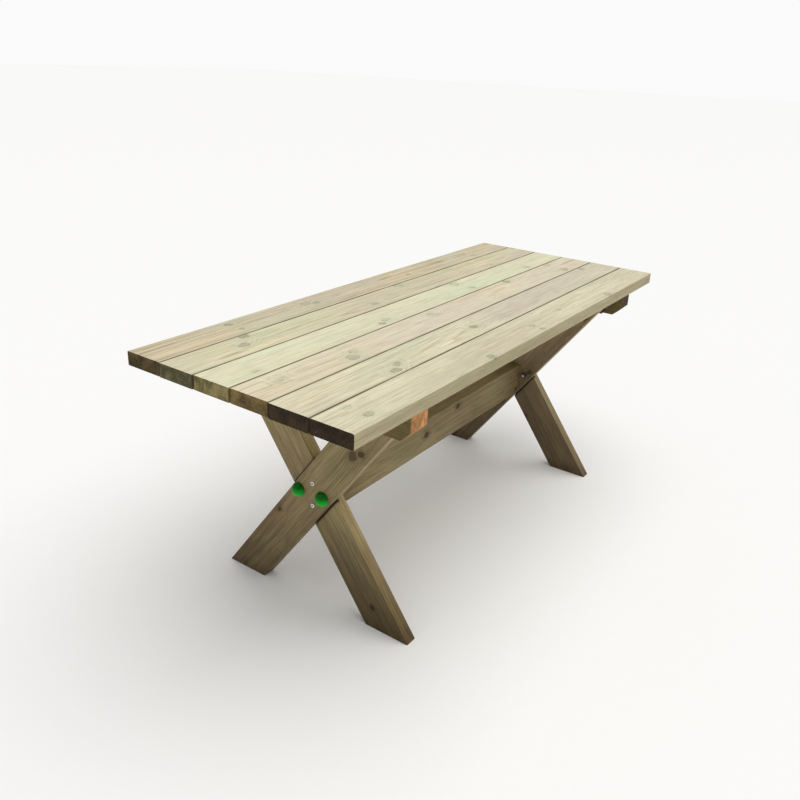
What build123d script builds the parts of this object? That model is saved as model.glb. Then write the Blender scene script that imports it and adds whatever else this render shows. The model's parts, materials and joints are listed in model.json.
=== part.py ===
from build123d import *
from math import atan2, cos, pi, sin
import os

# Garden table: a top of six boards on two crossed-leg frames, joined by one stretcher beam.
# Millimetres. X runs along the table, Y across it, Z up; the origin is on the floor under the
# middle of the top. The right frame is the left one turned half a turn about Z, so each of its
# pieces is drawn once, at the left end, and written for both ends.

# Top
TABLE_LENGTH = 1780.0
TABLE_HEIGHT = 750.0
BOARD_COUNT = 6
BOARD_WIDTH = 120.0
BOARD_THICKNESS = 38.0
BOARD_GAP = 1.0
ARRIS_RADIUS = 3.0
LEFT_END_INSETS = {1: 0.0, 2: 0.0, 3: 3.0, 4: 2.0, 5: 0.5, 6: 2.0}
TOP_UNDERSIDE = TABLE_HEIGHT - BOARD_THICKNESS
BOARD_PITCH = BOARD_WIDTH + BOARD_GAP

# Crossed legs: the outer leg is the one whose face carries the bolt caps
LEG_WIDTH = 115.0
LEG_THICKNESS = 38.0
FOOT_SPREAD = 256.0
CROSSING_HEIGHT = 348.0
LAP_DEPTH = 11.0
LAP_CLEARANCE = 3.5
LEG_ANGLE = atan2(CROSSING_HEIGHT, FOOT_SPREAD)
FRAME_OUTER_X = -615.0
OUTER_LEG_INNER_X = FRAME_OUTER_X + LEG_THICKNESS
LAP_X = OUTER_LEG_INNER_X - LAP_DEPTH
INNER_LEG_OUTER_X = LAP_X - LAP_DEPTH
FRAME_INNER_X = INNER_LEG_OUTER_X + LEG_THICKNESS

# Battens under the top
BATTEN_SIZE = 68.0
BATTEN_HALF_LENGTH = 360.0
BATTEN_BEVEL = 28.0
BATTEN_UNDERSIDE = TOP_UNDERSIDE - BATTEN_SIZE
BATTEN_OUTER_X = FRAME_OUTER_X - BATTEN_SIZE
BATTEN_MID_X = FRAME_OUTER_X - BATTEN_SIZE / 2
BATTEN_MID_Z = TOP_UNDERSIDE - BATTEN_SIZE / 2

# Stretcher beam
BEAM_HEIGHT = 115.0
BEAM_THICKNESS = 44.0
BEAM_UNDERSIDE = 276.0

# Crossing bolts (M10 hexagon) with click-on caps
M10_RADIUS = 5.0
M10_HOLE_RADIUS = 5.25
M10_ACROSS_FLATS = 17.0
M10_HEAD_HEIGHT = 6.4
M10_NUT_HEIGHT = 8.0
M10_WASHER_RADIUS = 10.0
M10_WASHER_THICKNESS = 2.0
HEX_CORNER_RADIUS = M10_ACROSS_FLATS / 2 / cos(pi / 6)
HEX_CHAMFER = 0.6
CROSSING_BOLT_Y = 42.0
CROSSING_BOLT_Z = 351.0
CROSSING_BOLT_LENGTH = 71.0
BASE_RADIUS = 17.0
BASE_THICKNESS = 2.5
BASE_CHAMFER = 0.5
CAP_RADIUS = 20.8
CAP_CAVITY_RADIUS = 17.3
CAP_WALL_HEIGHT = 3.0
CAP_DOME_HEIGHT = 17.0
CAP_CAVITY_DOME_HEIGHT = 14.2
CAP_RIM_GAP = 0.3

# Coach bolts through batten and leg
COACH_BOLT_SPACING = 44.0
COACH_HEAD_RADIUS = 12.0
COACH_HEAD_HEIGHT = 5.0
COACH_NECK_SIDE = 10.0
COACH_NECK_LENGTH = 6.0
THREAD_PAST_NUT = 3.0
COACH_BOLT_Y = (BATTEN_MID_Z - CROSSING_HEIGHT) * FOOT_SPREAD / CROSSING_HEIGHT

# Screws
BEAM_SCREW_RADIUS = 3.0
BEAM_SCREW_LENGTH = 130.0
BEAM_SCREW_Y = -7.0
BEAM_SCREW_HEIGHTS = (317.0, 385.0)
BEAM_SCREW_HEAD_RADIUS = 6.2
BEAM_SCREW_HEAD_HEIGHT = 2.2
BEAM_SCREW_SOCKET_RADIUS = 2.4
BEAM_SCREW_SOCKET_DEPTH = 4.0
BOARD_SCREW_RADIUS = 2.5
BOARD_SCREW_LENGTH = 90.0
BOARD_SCREW_HEAD_RADIUS = 5.0
BOARD_SCREW_SPACING = 44.0
SCREW_TIP_LENGTH = 6.0

# Spacer between the batten and the inner leg
SPACER_WIDTH = 110.0

SIDES = {"front": -1, "back": 1}
OPPOSITE = {"front": "back", "back": "front"}


def write(part, name):
    part.label = name
    export_step(part, f"parts/{name}.step")


def write_pair(part, name):
    write(part, f"left_{name}")
    write(part.rotate(Axis.Z, 180), f"right_{name}")


def write_side_pair(part, side_name, name):
    """The half turn takes a piece on the front side of the left frame to the back side of the right one."""
    write(part, f"left_{side_name}_{name}")
    write(part.rotate(Axis.Z, 180), f"right_{OPPOSITE[side_name]}_{name}")


def board_centre(number):
    return (number - (BOARD_COUNT + 1) / 2) * BOARD_PITCH


def board_screw_positions():
    """Y of every screw up through one batten: two in each board."""
    offsets = (-BOARD_SCREW_SPACING / 2, BOARD_SCREW_SPACING / 2)
    return [board_centre(number) + offset for number in range(1, BOARD_COUNT + 1) for offset in offsets]


def leg_axis_plane(mid_x, foot_side):
    """Plane square to a leg, at the middle of its foot; the leg rises towards the other side."""
    rise = (0, -foot_side * cos(LEG_ANGLE), sin(LEG_ANGLE))
    return Plane(origin=(mid_x, foot_side * FOOT_SPREAD, 0), x_dir=(1, 0, 0), z_dir=rise)


def crossing_bolt_centres():
    return [(-CROSSING_BOLT_Y, CROSSING_BOLT_Z), (CROSSING_BOLT_Y, CROSSING_BOLT_Z)]


def beam_screw_centres():
    return [(BEAM_SCREW_Y, height) for height in BEAM_SCREW_HEIGHTS]


def coach_bolt_centres(top_side):
    """Two bolts at the top of the leg whose upper end is on the given side."""
    middle = top_side * COACH_BOLT_Y
    half_spacing = COACH_BOLT_SPACING / 2
    return [(middle - half_spacing, BATTEN_MID_Z), (middle + half_spacing, BATTEN_MID_Z)]


def outward_profile_plane(face_x, y, z):
    """Plane for profiles of turned pieces: local x is the radius, local y points out of the frame."""
    return Plane(origin=(face_x, y, z), x_dir=(0, 1, 0), z_dir=(0, 0, 1))


def outward_axis(face_x, y, z):
    return Axis((face_x, y, z), (-1, 0, 0))


def dome_arc(rim_radius, rim_height, rise):
    """Round arc from a dome's rim up to its top on the axis."""
    radius = (rim_radius**2 + rise**2) / (2 * rise)
    return RadiusArc((rim_radius, rim_height), (0, rim_height + rise), -radius)


def top_board(number):
    inset = LEFT_END_INSETS[number]
    with BuildPart() as board:
        with BuildSketch(Plane.YZ.offset(inset - TABLE_LENGTH / 2)):
            with Locations((board_centre(number), TABLE_HEIGHT - BOARD_THICKNESS / 2)):
                RectangleRounded(BOARD_WIDTH, BOARD_THICKNESS, ARRIS_RADIUS)
        extrude(amount=TABLE_LENGTH - inset)
        offsets = (-BOARD_SCREW_SPACING / 2, BOARD_SCREW_SPACING / 2)
        with BuildSketch(Plane.XY.offset(TOP_UNDERSIDE)):
            for x in (BATTEN_MID_X, -BATTEN_MID_X):
                with Locations(*[(x, board_centre(number) + offset) for offset in offsets]):
                    Circle(BOARD_SCREW_RADIUS)
        extrude(amount=BOARD_SCREW_LENGTH - BATTEN_SIZE, mode=Mode.SUBTRACT)
    write(board.part, f"top_board_{number}")


def batten():
    low = BATTEN_UNDERSIDE
    with BuildPart() as bar:
        with BuildSketch(Plane.YZ.offset(BATTEN_OUTER_X)):
            with BuildLine():
                Polyline(
                    (-BATTEN_HALF_LENGTH, TOP_UNDERSIDE),
                    (-BATTEN_HALF_LENGTH, low + BATTEN_BEVEL),
                    (-BATTEN_HALF_LENGTH + BATTEN_BEVEL, low),
                    (BATTEN_HALF_LENGTH - BATTEN_BEVEL, low),
                    (BATTEN_HALF_LENGTH, low + BATTEN_BEVEL),
                    (BATTEN_HALF_LENGTH, TOP_UNDERSIDE),
                    close=True,
                )
            make_face()
        extrude(amount=BATTEN_SIZE)
        fillet(bar.edges().filter_by(Axis.Y), radius=ARRIS_RADIUS)
        with BuildSketch(Plane.YZ.offset(BATTEN_OUTER_X)):
            with Locations(*coach_bolt_centres(-1), *coach_bolt_centres(1)):
                Circle(M10_HOLE_RADIUS)
        extrude(amount=BATTEN_SIZE, mode=Mode.SUBTRACT)
        with BuildSketch(Plane.YZ.offset(BATTEN_OUTER_X)):
            with Locations(*coach_bolt_centres(-1), *coach_bolt_centres(1)):
                Rectangle(COACH_NECK_SIDE, COACH_NECK_SIDE)
        extrude(amount=COACH_NECK_LENGTH, mode=Mode.SUBTRACT)
        with Locations(*[Location((BATTEN_MID_X, y, low), (180, 0, 0)) for y in board_screw_positions()]):
            CounterSinkHole(BOARD_SCREW_RADIUS, BOARD_SCREW_HEAD_RADIUS, depth=BATTEN_SIZE)
    write_pair(bar.part, "batten")


def leg(name, mid_x, foot_side, lap_mid_x):
    with BuildPart() as board:
        with BuildSketch(leg_axis_plane(mid_x, foot_side)):
            RectangleRounded(LEG_THICKNESS, LEG_WIDTH, ARRIS_RADIUS)
        extrude(amount=2 * TABLE_HEIGHT, both=True)
        split(bisect_by=Plane.XY, keep=Keep.TOP)
        split(bisect_by=Plane.XY.offset(TOP_UNDERSIDE), keep=Keep.BOTTOM)
        with BuildSketch(leg_axis_plane(lap_mid_x, -foot_side)):
            Rectangle(LAP_DEPTH, LEG_WIDTH + 2 * LAP_CLEARANCE)
        extrude(amount=2 * TABLE_HEIGHT, both=True, mode=Mode.SUBTRACT)
        with BuildSketch(Plane.YZ.offset(mid_x)):
            with Locations(*crossing_bolt_centres(), *coach_bolt_centres(-foot_side)):
                Circle(M10_HOLE_RADIUS)
            with Locations(*beam_screw_centres()):
                Circle(BEAM_SCREW_RADIUS)
        extrude(amount=LEG_THICKNESS, both=True, mode=Mode.SUBTRACT)
    write_pair(board.part, name)


def spacer():
    """Fills the step between the batten and the inner leg, whose top is on the back side."""
    with BuildPart() as block:
        with BuildSketch(Plane.YZ.offset(FRAME_OUTER_X)):
            with Locations((COACH_BOLT_Y, BATTEN_MID_Z)):
                Rectangle(SPACER_WIDTH, BATTEN_SIZE)
            with Locations(*coach_bolt_centres(1)):
                Circle(M10_HOLE_RADIUS, mode=Mode.SUBTRACT)
        extrude(amount=INNER_LEG_OUTER_X - FRAME_OUTER_X)
    write_pair(block.part, "leg_spacer")


def stretcher_beam():
    pilot_depth = BEAM_SCREW_LENGTH - (FRAME_INNER_X - FRAME_OUTER_X)
    with BuildPart() as beam:
        with BuildSketch(Plane.YZ.offset(FRAME_INNER_X)):
            with Locations((0, BEAM_UNDERSIDE + BEAM_HEIGHT / 2)):
                RectangleRounded(BEAM_THICKNESS, BEAM_HEIGHT, ARRIS_RADIUS)
        extrude(amount=-2 * FRAME_INNER_X)
        for turn in (1, -1):
            with BuildSketch(Plane.YZ.offset(turn * FRAME_INNER_X)):
                with Locations(*[(turn * y, z) for y, z in beam_screw_centres()]):
                    Circle(BEAM_SCREW_RADIUS)
            extrude(amount=turn * pilot_depth, mode=Mode.SUBTRACT)
    write(beam.part, "stretcher_beam")


def crossing_bolt(side_name, side):
    """Hexagon bolt whose head bears on the cap base."""
    y = side * CROSSING_BOLT_Y
    head_x = FRAME_OUTER_X - BASE_THICKNESS
    with BuildPart() as bolt:
        with BuildSketch(Plane.YZ.offset(head_x)):
            with Locations((y, CROSSING_BOLT_Z)):
                RegularPolygon(HEX_CORNER_RADIUS, 6)
        extrude(amount=-M10_HEAD_HEIGHT)
        chamfer(bolt.faces().sort_by(Axis.X)[0].edges(), length=HEX_CHAMFER)
        with BuildSketch(Plane.YZ.offset(head_x)):
            with Locations((y, CROSSING_BOLT_Z)):
                Circle(M10_RADIUS)
        extrude(amount=CROSSING_BOLT_LENGTH)
        chamfer(bolt.faces().sort_by(Axis.X)[-1].edges(), length=1)
    write_side_pair(bolt.part, side_name, "crossing_bolt")


def cap_base(side_name, side):
    """Flat plastic ring under the bolt head, which the cap clicks over."""
    with BuildPart() as ring:
        with BuildSketch(Plane.YZ.offset(FRAME_OUTER_X)):
            with Locations((side * CROSSING_BOLT_Y, CROSSING_BOLT_Z)):
                Circle(BASE_RADIUS)
                Circle(M10_HOLE_RADIUS, mode=Mode.SUBTRACT)
        extrude(amount=-BASE_THICKNESS)
        outer_rim = ring.faces().sort_by(Axis.X)[0].edges().sort_by(SortBy.RADIUS)[-1]
        chamfer(outer_rim, length=BASE_CHAMFER)
    write_side_pair(ring.part, side_name, "cap_base")


def bolt_cap(side_name, side):
    """Hollow dome over the bolt head."""
    y = side * CROSSING_BOLT_Y
    with BuildPart() as cap:
        with BuildSketch(outward_profile_plane(FRAME_OUTER_X, y, CROSSING_BOLT_Z)):
            with BuildLine():
                outside = dome_arc(CAP_RADIUS, CAP_WALL_HEIGHT, CAP_DOME_HEIGHT)
                inside = dome_arc(CAP_CAVITY_RADIUS, CAP_WALL_HEIGHT, CAP_CAVITY_DOME_HEIGHT)
                Line(outside @ 1, inside @ 1)
                Polyline(
                    outside @ 0,
                    (CAP_RADIUS, CAP_RIM_GAP),
                    (CAP_CAVITY_RADIUS, CAP_RIM_GAP),
                    inside @ 0,
                )
            make_face()
        revolve(axis=outward_axis(FRAME_OUTER_X, y, CROSSING_BOLT_Z))
    write_side_pair(cap.part, side_name, "bolt_cap")


def washers(name, face_x, centres):
    with BuildPart() as rings:
        with BuildSketch(Plane.YZ.offset(face_x)):
            with Locations(*centres):
                Circle(M10_WASHER_RADIUS)
                Circle(M10_HOLE_RADIUS, mode=Mode.SUBTRACT)
        extrude(amount=M10_WASHER_THICKNESS)
    write_pair(rings.part, name)


def nuts(name, face_x, centres):
    with BuildPart() as hexagons:
        with BuildSketch(Plane.YZ.offset(face_x + M10_WASHER_THICKNESS)):
            with Locations(*centres):
                RegularPolygon(HEX_CORNER_RADIUS, 6)
                Circle(M10_RADIUS, mode=Mode.SUBTRACT)
        extrude(amount=M10_NUT_HEIGHT)
        end_edges = hexagons.edges().filter_by(GeomType.LINE).filter_by(Axis.X, reverse=True)
        chamfer(end_edges, length=HEX_CHAMFER)
    write_pair(hexagons.part, name)


def coach_bolts(name, nut_face_x, centres):
    """Domed head and square neck in the batten's outer face, thread out past the nut."""
    shank_end = nut_face_x + M10_WASHER_THICKNESS + M10_NUT_HEIGHT + THREAD_PAST_NUT
    with BuildPart() as bolts:
        for y, z in centres:
            with BuildSketch(outward_profile_plane(BATTEN_OUTER_X, y, z)):
                with BuildLine():
                    dome = dome_arc(COACH_HEAD_RADIUS, 0, COACH_HEAD_HEIGHT)
                    Polyline(dome @ 1, (0, 0), dome @ 0)
                make_face()
            revolve(axis=outward_axis(BATTEN_OUTER_X, y, z))
        with BuildSketch(Plane.YZ.offset(BATTEN_OUTER_X)):
            with Locations(*centres):
                Rectangle(COACH_NECK_SIDE, COACH_NECK_SIDE)
        extrude(amount=COACH_NECK_LENGTH)
        with BuildSketch(Plane.YZ.offset(BATTEN_OUTER_X)):
            with Locations(*centres):
                Circle(M10_RADIUS)
        extrude(amount=shank_end - BATTEN_OUTER_X)
    write_pair(bolts.part, name)


def beam_screws():
    with BuildPart() as screws:
        for y, z in beam_screw_centres():
            with BuildSketch(outward_profile_plane(FRAME_OUTER_X, y, z)):
                with BuildLine():
                    Polyline(
                        (0, BEAM_SCREW_HEAD_HEIGHT - BEAM_SCREW_SOCKET_DEPTH),
                        (BEAM_SCREW_SOCKET_RADIUS, BEAM_SCREW_HEAD_HEIGHT - BEAM_SCREW_SOCKET_DEPTH),
                        (BEAM_SCREW_SOCKET_RADIUS, BEAM_SCREW_HEAD_HEIGHT),
                        (BEAM_SCREW_HEAD_RADIUS - 1, BEAM_SCREW_HEAD_HEIGHT),
                        (BEAM_SCREW_HEAD_RADIUS, BEAM_SCREW_HEAD_HEIGHT - 1),
                        (BEAM_SCREW_HEAD_RADIUS, 0),
                        (BEAM_SCREW_RADIUS, 0),
                        (BEAM_SCREW_RADIUS, SCREW_TIP_LENGTH - BEAM_SCREW_LENGTH),
                        (0, -BEAM_SCREW_LENGTH),
                        close=True,
                    )
                make_face()
            revolve(axis=outward_axis(FRAME_OUTER_X, y, z))
    write_pair(screws.part, "beam_screws")


def board_screws():
    """Countersunk screws from the batten's underside up into the boards."""
    head_height = BOARD_SCREW_HEAD_RADIUS - BOARD_SCREW_RADIUS
    with BuildPart() as screws:
        for y in board_screw_positions():
            start = (BATTEN_MID_X, y, BATTEN_UNDERSIDE)
            with BuildSketch(Plane(origin=start, x_dir=(1, 0, 0), z_dir=(0, -1, 0))):
                with BuildLine():
                    Polyline(
                        (0, 0),
                        (BOARD_SCREW_HEAD_RADIUS, 0),
                        (BOARD_SCREW_RADIUS, head_height),
                        (BOARD_SCREW_RADIUS, BOARD_SCREW_LENGTH - SCREW_TIP_LENGTH),
                        (0, BOARD_SCREW_LENGTH),
                        close=True,
                    )
                make_face()
            revolve(axis=Axis(start, (0, 0, 1)))
    write_pair(screws.part, "board_screws")


os.makedirs("parts", exist_ok=True)

for board_number in range(1, BOARD_COUNT + 1):
    top_board(board_number)
batten()

# At the left frame the outer leg stands on its back foot and the inner leg on its front foot.
leg("outer_leg", FRAME_OUTER_X + LEG_THICKNESS / 2, 1, OUTER_LEG_INNER_X - LAP_DEPTH / 2)
leg("inner_leg", FRAME_INNER_X - LEG_THICKNESS / 2, -1, INNER_LEG_OUTER_X + LAP_DEPTH / 2)
spacer()
stretcher_beam()

for end_name, end_side in SIDES.items():
    crossing_bolt(end_name, end_side)
    cap_base(end_name, end_side)
    bolt_cap(end_name, end_side)
washers("crossing_washers", FRAME_INNER_X, crossing_bolt_centres())
nuts("crossing_nuts", FRAME_INNER_X, crossing_bolt_centres())
beam_screws()
board_screws()

for leg_name, nut_face, leg_top_side in (("outer", OUTER_LEG_INNER_X, -1), ("inner", FRAME_INNER_X, 1)):
    bolt_centres = coach_bolt_centres(leg_top_side)
    coach_bolts(f"{leg_name}_leg_coach_bolts", nut_face, bolt_centres)
    washers(f"{leg_name}_leg_washers", nut_face, bolt_centres)
    nuts(f"{leg_name}_leg_nuts", nut_face, bolt_centres)
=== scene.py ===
import json
import math
import random
from collections import namedtuple
import bpy
from mathutils import Matrix, Vector


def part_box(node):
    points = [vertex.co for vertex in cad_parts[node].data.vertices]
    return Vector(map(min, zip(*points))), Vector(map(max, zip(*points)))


# Garden table with crossed legs: materials, floor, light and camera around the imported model.
# Metres, in the frame of the model: X along the table, Y across it, Z up.

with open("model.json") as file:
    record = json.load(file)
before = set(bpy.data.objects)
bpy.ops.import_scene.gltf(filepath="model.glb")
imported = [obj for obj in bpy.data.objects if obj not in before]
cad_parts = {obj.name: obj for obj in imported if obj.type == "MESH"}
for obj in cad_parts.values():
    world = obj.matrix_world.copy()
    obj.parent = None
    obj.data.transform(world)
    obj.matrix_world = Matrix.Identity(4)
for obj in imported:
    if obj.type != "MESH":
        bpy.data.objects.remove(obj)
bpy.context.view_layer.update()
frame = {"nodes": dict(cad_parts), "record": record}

X_AXIS = Vector((1, 0, 0))
Y_AXIS = Vector((0, 1, 0))
Z_AXIS = Vector((0, 0, 1))

# The legs' slope and width, as in the model
LEG_ANGLE = math.atan2(0.348, 0.256)
LEG_WIDTH = 0.115
LEG_CROSSING = Vector((0, 0, 0.348))

# Camera
CAMERA_PLACE = Vector((-1.999, -1.235, 1.449))
CAMERA_AZIMUTH = math.radians(-55.94)
CAMERA_ELEVATION = math.radians(21.80)
CAMERA_ROLL = math.radians(2.69)
CAMERA_LENS = 35.12
CAMERA_SHIFT = (-0.0099, -0.0325)

# Floor and light
FLOOR_RADIUS = 60.0
FLOOR_BRIGHTNESS = 0.93
BACKDROP_BRIGHTNESS = 0.96
SKY_STRENGTH = 0.42
SUN_STRENGTH = 2.1
SUN_DIRECTION = Vector((-0.18, 0.22, -1.0))
SUN_ANGLE = math.radians(75)


def srgb(red, green, blue):
    """Linear colour of a 0-255 display colour."""
    def linear(value):
        share = value / 255
        return share / 12.92 if share <= 0.04045 else ((share + 0.055) / 1.055) ** 2.4
    return (linear(red), linear(green), linear(blue), 1.0)


class Graph:
    """Short calls for the nodes of one material."""

    def __init__(self, name):
        self.material = bpy.data.materials.new(name)
        self.material.use_nodes = True
        self.tree = self.material.node_tree
        self.tree.nodes.clear()

    def feed(self, socket, value):
        if isinstance(value, bpy.types.NodeSocket):
            self.tree.links.new(value, socket)
        else:
            socket.default_value = value

    def node(self, kind, inputs=None, **settings):
        made = self.tree.nodes.new(kind)
        for key, value in settings.items():
            setattr(made, key, value)
        for socket, value in (inputs or {}).items():
            self.feed(made.inputs[socket], value)
        return made

    def maths(self, operation, *values, clamp=False):
        inputs = dict(enumerate(values))
        return self.node("ShaderNodeMath", inputs, operation=operation, use_clamp=clamp).outputs[0]

    def vector(self, operation, *values):
        sockets = (0, "Scale") if operation == "SCALE" else range(3)
        made = self.node("ShaderNodeVectorMath", dict(zip(sockets, values)), operation=operation)
        return made.outputs["Value" if operation in ("DISTANCE", "DOT_PRODUCT", "LENGTH") else "Vector"]

    def split(self, value):
        return self.node("ShaderNodeSeparateXYZ", {0: value}).outputs

    def join(self, x, y, z):
        return self.node("ShaderNodeCombineXYZ", {0: x, 1: y, 2: z}).outputs[0]

    def noise(self, place, stretch, seed, detail=2.0, roughness=0.5):
        """Noise whose features are 1/stretch metres long each way, from 0 to 1, and as a colour."""
        stretched = self.vector("MULTIPLY", place, stretch)
        inputs = {"Vector": stretched, "W": seed, "Scale": 1.0, "Detail": detail, "Roughness": roughness}
        return self.node("ShaderNodeTexNoise", inputs, noise_dimensions="4D").outputs

    def remap(self, value, low, high, to_low=0.0, to_high=1.0):
        inputs = {"Value": value, "From Min": low, "From Max": high, "To Min": to_low, "To Max": to_high}
        return self.node("ShaderNodeMapRange", inputs, interpolation_type="SMOOTHSTEP").outputs[0]

    def mix(self, share, first, second, kind="MIX"):
        made = self.node("ShaderNodeMix", data_type="RGBA", blend_type=kind)
        self.feed(made.inputs[0], share)
        self.feed(made.inputs[6], first)
        self.feed(made.inputs[7], second)
        return made.outputs[2]

    def curve(self, value, stops):
        """Piecewise smooth function of value, through (place, level) stops."""
        made = self.node("ShaderNodeValToRGB", {0: value})
        ramp = made.color_ramp
        ramp.interpolation = "EASE"
        while len(ramp.elements) < len(stops):
            ramp.elements.new(1.0)
        for element, (place, level) in zip(ramp.elements, stops):
            element.position = place
            element.color = (level, level, level, 1.0)
        return made.outputs[0]

    def finish(self, colour, roughness, height, distance, **sockets):
        bump = self.node("ShaderNodeBump", {"Height": height, "Strength": 1.0, "Distance": distance})
        shader = self.node("ShaderNodeBsdfPrincipled")
        self.feed(shader.inputs["Base Color"], colour)
        self.feed(shader.inputs["Roughness"], roughness)
        self.feed(shader.inputs["Normal"], bump.outputs[0])
        for socket, value in sockets.items():
            self.feed(shader.inputs[socket.replace("_", " ")], value)
        output = self.node("ShaderNodeOutputMaterial")
        self.tree.links.new(shader.outputs[0], output.inputs[0])
        return self.material


class Timber:
    """One length of timber: its middle, the way of its grain and of its wide face, and its size."""

    def __init__(self, node, along, across, size=None):
        low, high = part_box(node)
        self.node = node
        self.middle = (low + high) / 2
        self.along = along.normalized()
        self.across = across.normalized()
        self.through = self.along.cross(self.across)
        ways = (self.along, self.across, self.through)
        self.length, self.width, self.thickness = size or [abs((high - low).dot(way)) for way in ways]

    def turn(self):
        """Rotation and shift that take a point of the frame to (along, across, through)."""
        rotation = Matrix((self.along, self.across, self.through))
        return rotation.to_euler("XYZ"), -(rotation @ self.middle)


# One kind of wood: its early and late wood, the stain that the treatment leaves, its dirty patches, its
# sawn ends, its knots and what is round them; how strongly the rings show, how far apart they are, how much
# stain and dirt there is, and how dark the mottling gets
Look = namedtuple("Look", "early late stain dirt end knot halo contrast ring stained dirty mottle")

WOOD_RELIEF = 0.0006
# How much longer a knot is along the grain than across it
KNOT_STRETCH = 1.5
ARRIS = 0.005

# Painted shade multiplies the wood's colour by these: in the seams between boards, at joints, beside a
# crossing leg
SEAM_PAINTED_SHADE = (0.26, 0.21, 0.15, 1.0)
SEAM_WIDTH = 0.0042
JOINT_PAINTED_SHADE = (0.62, 0.58, 0.52, 1.0)
JOINT_REACH = 0.16
CREVICE_PAINTED_SHADE = (0.10, 0.08, 0.06, 1.0)
CREVICE_WIDTH = 0.0035
Crevice = namedtuple("Crevice", "across_other_leg notch_side")

# Painted shade multiplies a foot's colour by this, most at the floor, and is gone a little above this height
FootShade = namedtuple("FootShade", "colour height")
SHADED_FOOT = FootShade((0.45, 0.42, 0.38, 1.0), 0.34)
DEEPLY_SHADED_FOOT = FootShade((0.30, 0.27, 0.20, 1.0), 0.21)

# How knots stand in one kind of timber: the step between whorls, and the ranges of radius and darkness
Growth = namedtuple("Growth", "step radius darkness")
TOP_GROWTH = Growth(0.38, (0.006, 0.013), (0.1, 0.5))
DARK_GROWTH = Growth(0.30, (0.005, 0.010), (0.6, 0.95))


def whorls(timber, growth, seed):
    """Knots grow in whorls at uneven steps along the trunk, with one or two of each on a face. Gives them as
    (along, across, radius, darkness), the first two as shares of the piece."""
    draw = random.Random(seed)
    knots = []
    along = growth.step * draw.uniform(0.1, 1.0)
    while along < timber.length:
        for _ in range(1 + int(draw.uniform(0.0, 1.35))):
            share = (along + draw.uniform(-0.03, 0.03)) / timber.length
            across = draw.uniform(0.1, 0.95)
            knots.append((share, across, draw.uniform(*growth.radius), draw.uniform(*growth.darkness)))
        along += growth.step * draw.uniform(0.6, 1.4)
    return knots


# The noises in one piece of timber: features to a metre along the grain and across it, detail and roughness.
# Each one's seed is the piece's own plus its place in this list.
NOISES = {
    "bend": (1.1, 4.0, 1.5, 0.5),
    "ripple": (3.0, 45.0, 2.0, 0.5),
    "streak": (1.6, 75.0, 4.0, 0.6),
    "fibre": (14.0, 620.0, 3.0, 0.65),
    "stain": (3.0, 10.0, 4.0, 0.6),
    "wander": (45.0, 80.0, 3.0, 0.5),
    "broad": (1.2, 4.0, 3.0, 0.55),
    "speck": (70.0, 160.0, 2.0, 0.5),
    "crack": (1.8, 150.0, 1.0, 0.5),
    "crack_zone": (2.0, 6.0, 1.0, 0.5),
    "blotch": (20.0, 34.0, 4.0, 0.65),
    "spoke": (1.0, 9.0, 1.0, 0.5),
    "scuff": (9.0, 60.0, 3.0, 0.7),
    "patchy": (60.0, 90.0, 2.0, 0.5),
    "pale": (30.0, 70.0, 3.0, 0.5),
    "smear": (5.0, 26.0, 5.0, 0.7),
    "mottle": (11.0, 190.0, 5.0, 0.78),
}


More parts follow.
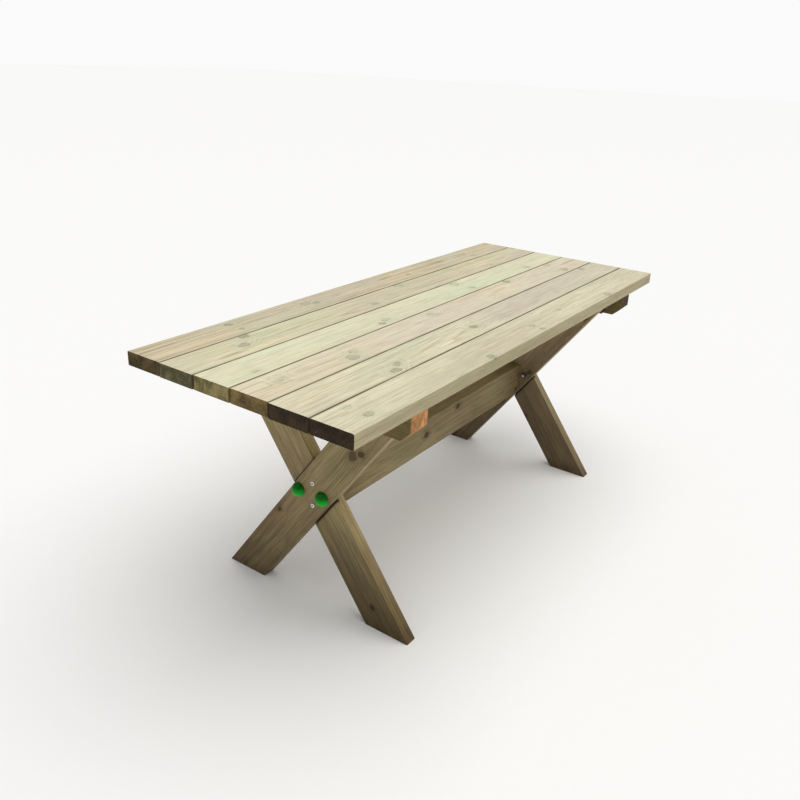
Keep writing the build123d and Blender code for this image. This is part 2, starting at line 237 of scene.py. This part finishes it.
class Grain:
    """The wood of one piece, sawn from a log whose pith runs along it, at pith_place across and through it:
    where a point lies in the piece, and the noises, rings and knots there."""

    def __init__(self, g, timber, look, seed, pith_place, knots):
        self.g = g
        self.timber = timber
        self.seed = seed
        coordinates = g.node("ShaderNodeTexCoord")
        self.frame_place = coordinates.outputs["Object"]
        self.normal = coordinates.outputs["Normal"]
        rotation, shift = timber.turn()
        inputs = {"Vector": self.frame_place, "Rotation": rotation, "Location": shift}
        self.place = g.node("ShaderNodeMapping", inputs).outputs[0]
        self.along, self.across, self.through = g.split(self.place)
        self.pith = (pith_place[0] * timber.width, pith_place[1] * timber.thickness)
        self.nearest, self.darkness, push = self.knots_near(knots)
        self.from_pith, self.ring = self.rings(push, look.ring)
        for name in ("streak", "fibre", "stain", "broad", "blotch", "patchy", "smear", "mottle"):
            setattr(self, name, self.noise(name)[0])
        self.speck = g.remap(self.noise("speck")[0], 0.70, 0.80)
        crack_line = g.remap(self.noise("crack")[0], 0.725, 0.76)
        self.crack = g.maths("MULTIPLY", crack_line, g.remap(self.noise("crack_zone")[0], 0.52, 0.60))

    def noise(self, name, place=None):
        along, across, detail, roughness = NOISES[name]
        seed = self.seed + list(NOISES).index(name)
        place = self.place if place is None else place
        return self.g.noise(place, (along, across, across), seed, detail, roughness)

    def knots_near(self, knots):
        """Knots are branches that run out from the pith and widen. Each one is (along, across, radius,
        darkness): where it meets the face that looks away from the pith, as shares of the piece from 0 to 1,
        and its radius there. Gives how near the nearest one is, in its own radii, how dark it is, and how far
        it pushes the rings."""
        g = self.g
        timber = self.timber
        wander = g.vector("MULTIPLY_ADD", self.noise("wander")[1], (0.012,) * 3, (-0.006,) * 3)
        from_pith = g.vector("SUBTRACT", g.vector("ADD", self.place, wander), (0.0, *self.pith))
        nearest = 9.0
        darkness = 0.0
        push = 0.0
        for knot_along, knot_across, radius, dark in knots:
            to_face = timber.thickness / 2 - self.pith[1]
            out = Vector(((knot_across - 0.5) * timber.width - self.pith[0], to_face))
            depth = out.length
            out.normalize()
            shift = g.vector("DOT_PRODUCT", from_pith, (1 / KNOT_STRETCH, 0.0, 0.0))
            shift = g.maths("SUBTRACT", shift, (knot_along - 0.5) * timber.length / KNOT_STRETCH)
            aside = g.vector("DOT_PRODUCT", from_pith, (0.0, out.y, -out.x))
            distance = g.vector("LENGTH", g.join(shift, aside, 0.0))
            width = g.maths("MULTIPLY", g.vector("DOT_PRODUCT", from_pith, (0.0, *out)), radius / depth)
            reach = g.maths("DIVIDE", distance, g.maths("MAXIMUM", width, 0.15 * radius))
            nearest = g.maths("MINIMUM", reach, nearest)
            darkness = g.maths("MAXIMUM", g.remap(reach, 1.10, 0.75, 0.0, dark), darkness)
            push = g.maths("ADD", g.remap(reach, 3.6, 0.4, 0.0, radius * 0.9), push)
        return nearest, darkness, push

    def rings(self, push, spacing):
        """Growth rings about a pith that wanders. Gives the place from the pith too."""
        g = self.g
        bend = g.vector("MULTIPLY_ADD", self.noise("bend")[1], (0.0, 0.05, 0.05), (0.0, -0.025, -0.025))
        bent = g.vector("MULTIPLY", g.vector("ADD", self.place, bend), (0.0, 1.0, 1.0))
        from_pith = g.vector("SUBTRACT", bent, (0.0, *self.pith))
        pushed = g.maths("ADD", g.vector("LENGTH", from_pith), push)
        ripple = g.maths("MULTIPLY", self.noise("ripple")[0], 0.9)
        phase = g.maths("ADD", g.maths("DIVIDE", pushed, spacing), ripple)
        stops = [(0.0, 0.1), (0.35, 0.0), (0.72, 0.55), (0.9, 1.0), (1.0, 0.1)]
        return from_pith, g.curve(g.maths("FRACT", phase), stops)

    def facing(self, way):
        """How squarely the surface faces one way or its opposite, from 0 to 1."""
        return self.g.maths("ABSOLUTE", self.g.vector("DOT_PRODUCT", self.normal, tuple(way)))


def long_face_colour(g, grain, look):
    """Rings, streaks and fibres, then stain, dirt that grows along the piece, specks, cracks and mottling."""
    length = grain.timber.length
    shade = g.maths("MULTIPLY", grain.ring, look.contrast)
    streaks = g.remap(grain.streak, 0.36, 0.70, -0.35 * look.contrast, 0.9 * look.contrast)
    shade = g.maths("ADD", shade, streaks)
    shade = g.maths("ADD", shade, g.maths("MULTIPLY_ADD", grain.fibre, 0.50, -0.25), clamp=True)
    colour = g.mix(shade, look.early, look.late)
    colour = g.mix(g.remap(grain.stain, 0.42, 0.66, 0.0, look.stained), colour, look.stain)
    uneven = g.maths("MULTIPLY_ADD", grain.broad, 0.6, grain.along)
    weathered = g.remap(uneven, 0.3 - length / 2, length / 4, 0.3, 1.0)
    patches = g.remap(grain.broad, 0.34, 0.60, 0.0, look.dirty)
    colour = g.mix(g.maths("MULTIPLY", patches, weathered), colour, look.dirt)
    colour = g.mix(g.remap(grain.smear, 0.50, 0.68, 0.0, 0.5 * look.dirty), colour, look.dirt)
    colour = g.mix(g.maths("MULTIPLY", grain.speck, 0.35), colour, look.knot)
    colour = g.mix(g.maths("MULTIPLY", grain.crack, 0.75), colour, look.knot)
    return g.vector("SCALE", colour, g.remap(grain.mottle, 0.32, 0.62, look.mottle, 1.04))


def add_knots(g, grain, look, colour):
    """A halo, a core with its own rings, and a broken line of bark round it. Gives the bark line too."""
    halo_place = g.maths("MULTIPLY", grain.nearest, 0.2)
    halo = g.curve(halo_place, [(0.0, 0.8), (0.2, 1.0), (0.34, 0.45), (0.6, 0.0)])
    halo = g.maths("MULTIPLY", halo, g.remap(grain.patchy, 0.25, 0.65, 0.1, 0.6))
    colour = g.mix(halo, colour, look.halo)
    core = g.maths("FRACT", g.maths("MULTIPLY", grain.nearest, 2.6))
    core_ring = g.curve(core, [(0.0, 0.25), (0.6, 0.0), (1.0, 0.6)])
    colour = g.mix(grain.darkness, colour, g.mix(core_ring, look.knot, look.late))
    bark_place = g.maths("MULTIPLY", grain.nearest, 0.5)
    bark = g.curve(bark_place, [(0.0, 0.0), (0.38, 0.0), (0.48, 1.0), (0.58, 0.0)])
    bark = g.maths("MULTIPLY", bark, g.remap(grain.patchy, 0.42, 0.58, 0.05, 0.95))
    return g.mix(g.maths("MULTIPLY", bark, 0.65), colour, look.knot), bark


def sawn_end_colour(g, grain, look):
    """Darker than the faces and blotchy, with rings, pale patches, and cracks that run out from the pith.
    Gives the cracks too."""
    dark_end = tuple(0.35 * channel for channel in look.end[:3]) + (1.0,)
    colour = g.mix(g.remap(grain.blotch, 0.34, 0.68), dark_end, look.end)
    colour = g.mix(g.maths("MULTIPLY", grain.ring, 0.35), colour, dark_end)
    colour = g.mix(g.remap(grain.noise("pale")[0], 0.64, 0.78, 0.0, 0.16), colour, look.stain)
    spoke = grain.noise("spoke", g.vector("NORMALIZE", grain.from_pith))[0]
    split_line = g.remap(g.maths("ABSOLUTE", g.maths("SUBTRACT", spoke, 0.5)), 0.012, 0.004)
    return g.mix(g.maths("MULTIPLY", split_line, 0.6), colour, dark_end), split_line


def wear_arrises(g, grain, look, colour):
    """Where a broad face meets a side the wood is unevenly rubbed, down to the colour that is round knots."""
    side = grain.timber.width / 2
    face = grain.timber.thickness / 2
    near_side = g.remap(g.maths("ABSOLUTE", grain.across), side - ARRIS, side)
    near_face = g.remap(g.maths("ABSOLUTE", grain.through), face - ARRIS, face)
    scuff = g.remap(grain.noise("scuff")[0], 0.35, 0.65, 0.1, 0.8)
    worn = g.maths("MULTIPLY", g.maths("MULTIPLY", near_side, near_face), scuff)
    return g.mix(g.maths("MULTIPLY", worn, 0.6), colour, look.halo)


def paint_shade_at_ends(g, grain, colour):
    """Painted shade that fades away from both ends, where the piece meets the frames."""
    from_end = g.maths("SUBTRACT", grain.timber.length / 2, g.maths("ABSOLUTE", grain.along))
    uneven = g.maths("MULTIPLY_ADD", grain.smear, -0.08, from_end)
    return g.mix(g.remap(uneven, JOINT_REACH, -0.04), colour, JOINT_PAINTED_SHADE, "MULTIPLY")


def paint_seam_shade(g, grain, side, colour):
    """Painted shade where the board's low (-1) or high (1) side meets the next board."""
    edge = grain.timber.width / 2
    outward = g.maths("MULTIPLY", grain.across, side)
    seam = g.remap(outward, edge - SEAM_WIDTH, edge - 0.2 * SEAM_WIDTH)
    seam = g.maths("MULTIPLY", seam, g.remap(grain.smear, 0.35, 0.6, 0.6, 1.0))
    return g.mix(seam, colour, SEAM_PAINTED_SHADE, "MULTIPLY")


def paint_crevice_shade(g, grain, crevice, colour):
    """Painted contact shadow on both sides of the leg that crosses this one, on the notched face."""
    from_crossing = g.vector("SUBTRACT", grain.frame_place, tuple(LEG_CROSSING))
    beside = g.maths("ABSOLUTE", g.vector("DOT_PRODUCT", from_crossing, tuple(crevice.across_other_leg)))
    from_gap = g.maths("ABSOLUTE", g.maths("SUBTRACT", beside, (LEG_WIDTH + CREVICE_WIDTH) / 2))
    in_gap = g.remap(from_gap, 2.6 * CREVICE_WIDTH, 0.5 * CREVICE_WIDTH)
    notched = g.remap(g.maths("MULTIPLY", grain.through, crevice.notch_side), 0.0, 0.006)
    return g.mix(g.maths("MULTIPLY", in_gap, notched), colour, CREVICE_PAINTED_SHADE, "MULTIPLY")


def darken_foot(g, grain, look, foot_shade, colour):
    """Painted shade that climbs the foot unevenly, darkest at the floor, and dirt on its lowest few
    centimetres.
    """
    height = g.split(grain.frame_place)[2]
    uneven = g.maths("MULTIPLY_ADD", grain.broad, -0.25, height)
    colour = g.mix(g.remap(uneven, foot_shade.height, -0.12), colour, foot_shade.colour, "MULTIPLY")
    grubby = g.maths("MULTIPLY", g.remap(height, 0.05, 0.0, 0.0, 0.8), g.remap(grain.blotch, 0.3, 0.7))
    return g.mix(grubby, colour, look.knot)


def relief_of(g, grain, bark, split_line, end):
    """Late wood stands proud and fibres are fine; cracks and bark go in, and sawn ends are rough."""
    relief = g.maths("MULTIPLY_ADD", grain.ring, 0.18, g.maths("MULTIPLY", grain.fibre, 0.35))
    relief = g.maths("ADD", relief, g.maths("MULTIPLY", grain.streak, 0.5))
    relief = g.maths("MULTIPLY_ADD", grain.crack, -2.2, relief)
    relief = g.maths("MULTIPLY_ADD", bark, -0.5, relief)
    relief = g.maths("MULTIPLY_ADD", g.maths("MULTIPLY", split_line, end), -1.8, relief)
    return g.maths("MULTIPLY_ADD", g.maths("MULTIPLY", grain.blotch, end), 0.9, relief)


def wood(timber, look, seed, pith_place, knots=(), seams=(False, False), foot_shade=None, shaded_ends=False,
         side_shading=None, crevice=None):
    """Material of one piece of pine. seams says whether its low and high sides meet another board."""
    g = Graph(f"wood_{timber.node}")
    grain = Grain(g, timber, look, seed, pith_place, knots)
    colour = long_face_colour(g, grain, look)
    colour, bark = add_knots(g, grain, look, colour)
    # Painted light and shade: the sides that face across the piece are made lighter or darker by this tint
    if side_shading:
        colour = g.mix(g.remap(grain.facing(timber.across), 0.5, 0.95), colour, side_shading, "MULTIPLY")
    end = g.remap(grain.facing(timber.along), 0.55, 0.75)
    end_colour, split_line = sawn_end_colour(g, grain, look)
    colour = g.mix(end, colour, end_colour)
    colour = wear_arrises(g, grain, look, colour)
    # Painted shade near both ends
    if shaded_ends:
        colour = paint_shade_at_ends(g, grain, colour)
    # Painted shade in the seams where the board meets the next one
    for side, is_seam in zip((-1.0, 1.0), seams):
        if is_seam:
            colour = paint_seam_shade(g, grain, side, colour)
    # Painted contact shadow beside the crossing leg
    if crevice:
        colour = paint_crevice_shade(g, grain, crevice, colour)
    # Painted shade, darker towards the floor
    if foot_shade:
        colour = darken_foot(g, grain, look, foot_shade, colour)
    relief = relief_of(g, grain, bark, split_line, end)
    roughness = g.maths("MULTIPLY_ADD", grain.stain, 0.18, g.remap(end, 0.0, 1.0, 0.60, 0.80))
    return g.finish(colour, roughness, relief, WOOD_RELIEF, Specular_IOR_Level=0.28)


def zinc(name, dull, bright, metallic, sockets=()):
    """Zinc plate: fine scratches, dull patches and a little rust. Each socket, given as (middle, radius), is
    painted as a dark disc: painted shade of its hole."""
    g = Graph(name)
    place = g.node("ShaderNodeTexCoord").outputs["Object"]
    patch = g.noise(place, (90.0, 90.0, 90.0), 1.0, 3.0, 0.6)[0]
    scratch = g.noise(place, (400.0, 1600.0, 1200.0), 2.0, 2.0)[0]
    rust = g.remap(g.noise(place, (60.0, 60.0, 60.0), 3.0, 4.0, 0.7)[0], 0.62, 0.75, 0.0, 0.35)
    colour = g.mix(g.remap(patch, 0.3, 0.7), dull, bright)
    colour = g.mix(rust, colour, srgb(150, 128, 98))
    for middle, radius in sockets:
        from_middle = g.vector("SUBTRACT", place, tuple(middle))
        aside = g.vector("LENGTH", g.vector("MULTIPLY", from_middle, (0.0, 1.0, 1.0)))
        # Painted shade: the socket's hole is a dark disc
        colour = g.mix(g.remap(aside, radius, 0.8 * radius), colour, srgb(34, 30, 26))
    roughness = g.remap(patch, 0.3, 0.7, 0.48, 0.32)
    return g.finish(colour, roughness, scratch, 0.00005, Metallic=metallic)


def moulded_plastic(node, seed):
    """Satin green plastic with faint flow marks and a fine grit, lighter below than above as a painted
    reflection of the pale floor.
    """
    g = Graph(f"plastic_{node}")
    low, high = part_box(node)
    middle = (low + high) / 2
    place = g.node("ShaderNodeTexCoord").outputs["Object"]
    flow = g.noise(place, (120.0, 120.0, 120.0), seed, 3.0, 0.55)[0]
    grit = g.noise(place, (900.0, 900.0, 900.0), seed + 1, 2.0)[0]
    height = g.split(place)[2]
    # Painted reflection: lighter towards the bottom, as if lit by the pale floor
    floor_reflection = g.remap(height, middle.z + 0.014, middle.z - 0.016)
    colour = g.mix(floor_reflection, srgb(14, 98, 18), srgb(24, 194, 56))
    colour = g.mix(g.remap(flow, 0.4, 0.7, 0.0, 0.25), colour, srgb(30, 188, 60))
    roughness = g.remap(flow, 0.3, 0.7, 0.40, 0.55)
    relief = g.maths("MULTIPLY_ADD", grit, 0.3, flow)
    return g.finish(colour, roughness, relief, 0.00012, Specular_IOR_Level=0.12)


def dress(node, material):
    slots = frame["nodes"][node].data.materials
    for number in range(len(slots)):
        slots[number] = material


# Top boards, from the front one to the back one
TOP_KNOT = srgb(112, 94, 66)
TOP_HALO = srgb(190, 198, 166)
# Painted shade: the boards' sides, which face across them, are darkened by this
TOP_SIDE_PAINTED_SHADE = (0.66, 0.62, 0.52, 1.0)


def top_look(early, late, stain, dirt, end, contrast):
    colours = [srgb(*colour) for colour in (early, late, stain, dirt, end)]
    return Look(*colours, TOP_KNOT, TOP_HALO, contrast, ring=0.0045, stained=0.6, dirty=0.7, mottle=0.80)


# Early wood, late wood, stain, dirt and sawn ends as display colours, and how strongly the rings show
TOP_LOOKS = {
    1: top_look((234, 226, 197), (196, 184, 150), (216, 212, 180), (200, 191, 166), (68, 51, 32), 0.5),
    2: top_look((232, 224, 192), (190, 176, 142), (206, 210, 182), (206, 196, 178), (72, 55, 35), 0.55),
    3: top_look((233, 223, 192), (190, 174, 140), (224, 208, 178), (218, 208, 188), (148, 124, 76), 0.5),
    4: top_look((235, 231, 199), (204, 198, 160), (207, 223, 189), (218, 212, 184), (163, 148, 98), 0.4),
    5: top_look((228, 219, 184), (180, 164, 130), (206, 211, 178), (202, 190, 170), (126, 119, 82), 0.55),
    6: top_look((223, 209, 174), (162, 142, 108), (199, 201, 172), (202, 192, 174), (108, 89, 50), 0.65),
}
# Where each board's pith lies, across and through it, as shares of its width and thickness
TOP_PITHS = {
    1: (0.2, -1.4),
    2: (-0.3, -2.2),
    3: (0.1, -1.0),
    4: (0.35, -2.6),
    5: (-0.15, -1.6),
    6: (0.1, -0.9),
}
for number, look in TOP_LOOKS.items():
    board = Timber(f"top_board_{number}", X_AXIS, Y_AXIS)
    seams = (number > 1, number < len(TOP_LOOKS))
    knots = whorls(board, TOP_GROWTH, number)
    material = wood(board, look, 20.0 * number, TOP_PITHS[number], knots, seams, side_shading=TOP_SIDE_PAINTED_SHADE)
    dress(board.node, material)

# Legs, beam, battens and spacers: darker treated timber
DARK_KNOT = srgb(54, 40, 26)
DARK_HALO = srgb(92, 74, 46)
DARK_END = srgb(96, 76, 48)


def dark_look(early, late, stain, dirt, contrast=0.45, ring=0.0055):
    colours = [srgb(*colour) for colour in (early, late, stain, dirt)]
    shared = (DARK_END, DARK_KNOT, DARK_HALO)
    return Look(*colours, *shared, contrast, ring, stained=0.6, dirty=0.45, mottle=0.66)


# Early wood, late wood, stain and dirt as display colours
NEAR_LEG_LOOK = dark_look((184, 165, 118), (120, 100, 66), (148, 118, 90), (116, 106, 74))
# The far legs' look is a darker copy of the near legs': painted shade of their faces under the table
FAR_LEG_SHADED_LOOK = dark_look((162, 142, 108), (104, 86, 62), (132, 112, 86), (104, 90, 66))
BEAM_LOOK = dark_look((168, 150, 108), (108, 92, 60), (140, 132, 92), (112, 96, 70), 0.4, 0.006)
BATTEN_LOOK = dark_look((122, 105, 62), (82, 68, 38), (104, 96, 56), (88, 72, 44), 0.4)
NEAR_BATTEN_LOOK = BATTEN_LOOK._replace(end=srgb(228, 164, 106))
SPACER_LOOK = dark_look((130, 114, 76), (92, 78, 50), (110, 104, 70), (96, 82, 56))
# Painted light: the legs' narrow sides are lightened by these, the far ones more
NEAR_LEG_SIDE_PAINTED_LIGHT = (1.2, 1.2, 1.2, 1.0)
FAR_LEG_SIDE_PAINTED_LIGHT = (1.6, 1.7, 1.7, 1.0)

# A leg stands on its front foot (-1) or its back foot (1)
LEG_FEET = {"left_outer_leg": 1, "left_inner_leg": -1, "right_outer_leg": -1, "right_inner_leg": 1}


def across_leg(foot_side):
    return Vector((0, math.sin(LEG_ANGLE), foot_side * math.cos(LEG_ANGLE)))


def leg_timber(node, foot_side):
    """A leg leans from its foot to the other side of the table."""
    low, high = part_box(node)
    along = Vector((0, -foot_side * math.cos(LEG_ANGLE), math.sin(LEG_ANGLE)))
    across = across_leg(foot_side)
    length = (high.z - low.z) / math.sin(LEG_ANGLE)
    return Timber(node, along, across, (length, LEG_WIDTH, high.x - low.x))


for number, (node, foot_side) in enumerate(LEG_FEET.items()):
    is_near = node.startswith("left")
    leg = leg_timber(node, foot_side)
    # Each leg is notched for the other one: inner legs on their outward face, outer legs on their inward
    # one. Every leg's through points to -X, so the side is 1 where the notched face looks that way.
    notch_side = 1.0 if node in ("left_inner_leg", "right_outer_leg") else -1.0
    material = wood(
        leg,
        NEAR_LEG_LOOK if is_near else FAR_LEG_SHADED_LOOK,
        seed=200.0 + 20 * number,
        pith_place=(0.25 - 0.2 * number, -0.8),
        knots=whorls(leg, DARK_GROWTH, 20 + number),
        foot_shade=DEEPLY_SHADED_FOOT if node == "left_inner_leg" else SHADED_FOOT,
        side_shading=NEAR_LEG_SIDE_PAINTED_LIGHT if is_near else FAR_LEG_SIDE_PAINTED_LIGHT,
        crevice=Crevice(across_leg(-foot_side), notch_side),
    )
    dress(node, material)

beam = Timber("stretcher_beam", X_AXIS, Z_AXIS)
# The beam is darkened towards both ends with painted shade where it meets the frames
dress(beam.node, wood(beam, BEAM_LOOK, 300.0, (-0.1, -1.2), whorls(beam, DARK_GROWTH, 30), shaded_ends=True))

for number, (end_name, look) in enumerate((("left", NEAR_BATTEN_LOOK), ("right", BATTEN_LOOK))):
    batten = Timber(f"{end_name}_batten", Y_AXIS, X_AXIS)
    knots = whorls(batten, DARK_GROWTH, 40 + number)
    dress(batten.node, wood(batten, look, 340.0 + 20 * number, (0.1, -0.9), knots))
    block = Timber(f"{end_name}_leg_spacer", Y_AXIS, Z_AXIS)
    dress(block.node, wood(block, SPACER_LOOK, 400.0 + 20 * number, (0.2, -2.0)))

SCREW_SOCKET_RADIUS = 0.0031
bolt_metal = zinc("bright_zinc", srgb(186, 186, 180), srgb(236, 234, 226), 0.8)
nut_metal = zinc("dull_zinc", srgb(70, 66, 56), srgb(104, 98, 84), 0.6)


def screw_metal(node):
    """The beam's two screws stand one above the other; each has a drive socket in its head, painted dark as
    its shade.
    """
    low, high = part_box(node)
    head_radius = (high.y - low.y) / 2
    middle = (low + high) / 2
    places = [Vector((middle.x, middle.y, z)) for z in (low.z + head_radius, high.z - head_radius)]
    sockets = [(place, SCREW_SOCKET_RADIUS) for place in places]
    return zinc(f"zinc_{node}", srgb(226, 224, 212), srgb(246, 244, 234), 0.2, sockets)


plastic_seed = 500.0
for part in frame["record"]["subparts"]:
    node = part["node"]
    if part["material_slot"] == "cap_plastic":
        plastic_seed += 10.0
        dress(node, moulded_plastic(node, plastic_seed))
    if part["material_slot"] == "zinc_steel":
        if node.endswith("beam_screws"):
            dress(node, screw_metal(node))
        elif node.endswith(("nuts", "washers")):
            dress(node, nut_metal)
        else:
            dress(node, bolt_metal)


def add_floor():
    mesh = bpy.data.meshes.new("floor")
    corners = [(-1, -1), (1, -1), (1, 1), (-1, 1)]
    mesh.from_pydata([(FLOOR_RADIUS * x, FLOOR_RADIUS * y, 0.0) for x, y in corners], [], [(0, 1, 2, 3)])
    floor = bpy.data.objects.new("floor", mesh)
    bpy.context.scene.collection.objects.link(floor)
    g = Graph("pale_floor")
    place = g.node("ShaderNodeTexCoord").outputs["Object"]
    grain = g.noise(place, (40.0, 40.0, 40.0), 0.0, 4.0, 0.6)[0]
    bright = (FLOOR_BRIGHTNESS,) * 3 + (1.0,)
    dim = (FLOOR_BRIGHTNESS * 0.98,) * 3 + (1.0,)
    mesh.materials.append(g.finish(g.mix(grain, dim, bright), 0.9, grain, 0.0001, Specular_IOR_Level=0.1))


def add_light():
    world = bpy.data.worlds.new("studio")
    world.use_nodes = True
    bpy.context.scene.world = world
    nodes = world.node_tree.nodes
    links = world.node_tree.links
    nodes.clear()
    seen = nodes.new("ShaderNodeBackground")
    seen.inputs["Color"].default_value = (BACKDROP_BRIGHTNESS,) * 3 + (1.0,)
    soft = nodes.new("ShaderNodeBackground")
    soft.inputs["Color"].default_value = (0.97, 0.98, 1.0, 1.0)
    soft.inputs["Strength"].default_value = SKY_STRENGTH
    path = nodes.new("ShaderNodeLightPath")
    choice = nodes.new("ShaderNodeMixShader")
    output = nodes.new("ShaderNodeOutputWorld")
    links.new(path.outputs["Is Camera Ray"], choice.inputs[0])
    links.new(soft.outputs[0], choice.inputs[1])
    links.new(seen.outputs[0], choice.inputs[2])
    links.new(choice.outputs[0], output.inputs[0])

    lamp = bpy.data.lights.new("overhead", "SUN")
    lamp.energy = SUN_STRENGTH
    lamp.angle = SUN_ANGLE
    lamp.color = (1.0, 0.985, 0.955)
    sun = bpy.data.objects.new("overhead", lamp)
    sun.rotation_euler = SUN_DIRECTION.to_track_quat("-Z", "Y").to_euler()
    bpy.context.scene.collection.objects.link(sun)


def add_camera():
    data = bpy.data.cameras.new("camera")
    data.lens = CAMERA_LENS
    data.shift_x, data.shift_y = CAMERA_SHIFT
    camera = bpy.data.objects.new("camera", data)
    level = math.cos(CAMERA_ELEVATION)
    forward = Vector((
        -math.sin(CAMERA_AZIMUTH) * level,
        math.cos(CAMERA_AZIMUTH) * level,
        -math.sin(CAMERA_ELEVATION),
    ))
    level_right = forward.cross(Z_AXIS).normalized()
    level_up = level_right.cross(forward)
    right = math.cos(CAMERA_ROLL) * level_right + math.sin(CAMERA_ROLL) * level_up
    up = right.cross(forward)
    turn = Matrix((right, up, -forward)).transposed().to_4x4()
    camera.matrix_world = Matrix.Translation(CAMERA_PLACE) @ turn
    bpy.context.scene.collection.objects.link(camera)
    bpy.context.scene.camera = camera


add_floor()
add_light()
add_camera()
bpy.context.scene.view_settings.view_transform = "Standard"
